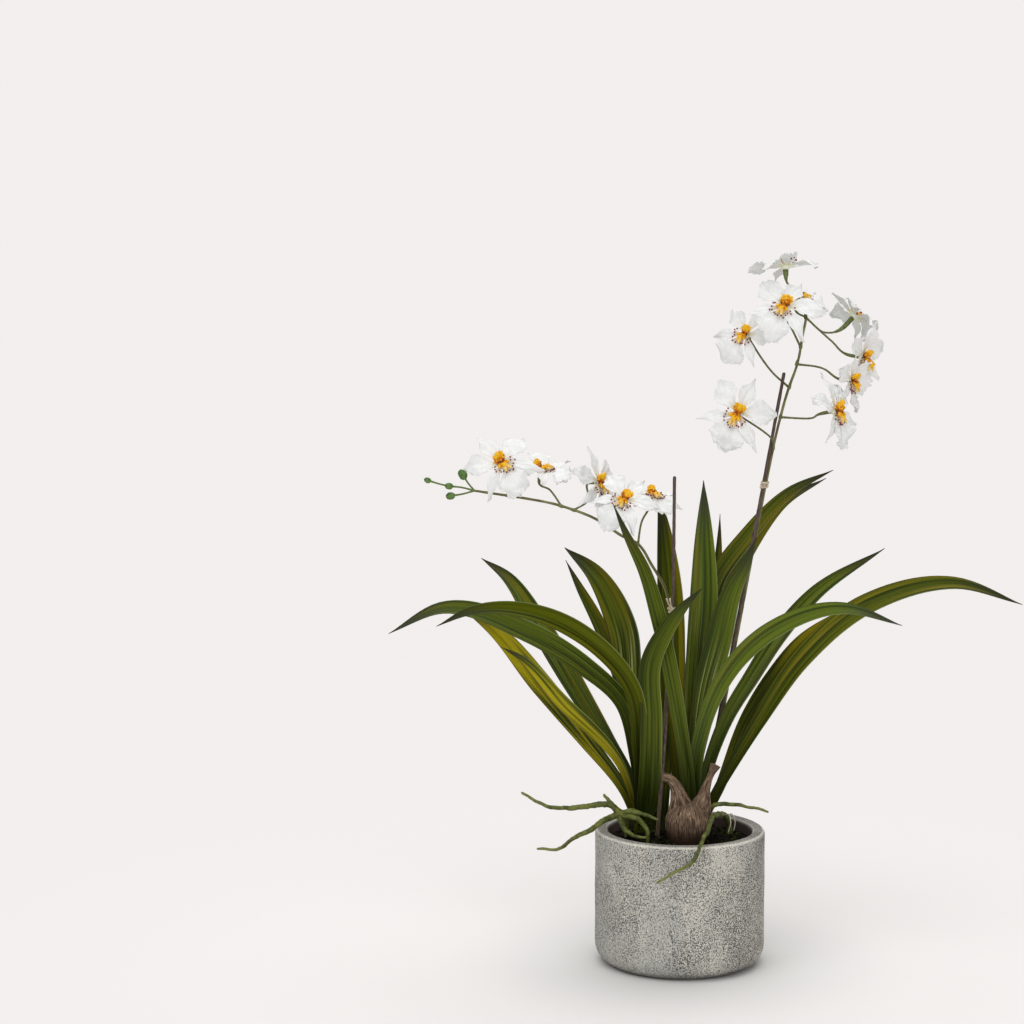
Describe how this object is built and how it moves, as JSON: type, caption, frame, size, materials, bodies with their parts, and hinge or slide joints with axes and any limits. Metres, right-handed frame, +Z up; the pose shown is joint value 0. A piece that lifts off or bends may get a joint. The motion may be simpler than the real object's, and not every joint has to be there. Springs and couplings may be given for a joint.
{
  "type": "potted orchid",
  "caption": "Orchid in a round concrete pot: long strap leaves from two growths, a brown pseudobulb, aerial roots and two staked sprays of white blooms with orange centres.",
  "frame": {"origin": "centre of the pot's flat underside, on the surface it stands on", "axes": "+Z up along the pot's axis, +X to the right of the front view, -Y towards the viewer"},
  "size_m": [0.5577, 0.276, 0.64],
  "materials": {
    "concrete": "rough cast concrete, pitted",
    "soil": "matt crumbly filler with moss",
    "husk": "matt with fine fibres",
    "leaf": "pleated, satin",
    "stake": "matt wrapped stick",
    "stem": "satin",
    "tie": "matt twisted cord",
    "root": "matt, slightly rough",
    "petal": "matt thin cloth with ruffled edges",
    "callus": "flocked, matt"
  },
  "bodies": {
    "root": {"pot": "concrete", "soil": "soil", "pseudobulb": "husk", "leaves_left": "leaf", "leaves_right": "leaf", "stake_left": "stake", "stake_right": "stake", "flower_stem_left": "stem", "flower_stem_right": "stem", "tie_left": "tie", "tie_right": "tie", "roots_left": "root", "root_front": "root", "root_right": "root", "bloom_r1": "petal", "bloom_r2": "petal", "bloom_r3": "petal", "bloom_r4": "petal", "bloom_r5": "petal", "bloom_r6": "petal", "bloom_r7": "petal", "bloom_r8": "petal", "bloom_r9": "petal", "bloom_l1": "petal", "bloom_l2": "petal", "bloom_l3": "petal", "bloom_l4": "petal", "bloom_l5": "petal", "callus_r1": "callus", "callus_r2": "callus", "callus_r3": "callus", "callus_r4": "callus", "callus_r5": "callus", "callus_r6": "callus", "callus_r7": "callus", "callus_r8": "callus", "callus_r9": "callus", "callus_l1": "callus", "callus_l2": "callus", "callus_l3": "callus", "callus_l4": "callus", "callus_l5": "callus"}
  },
  "joints": []
}
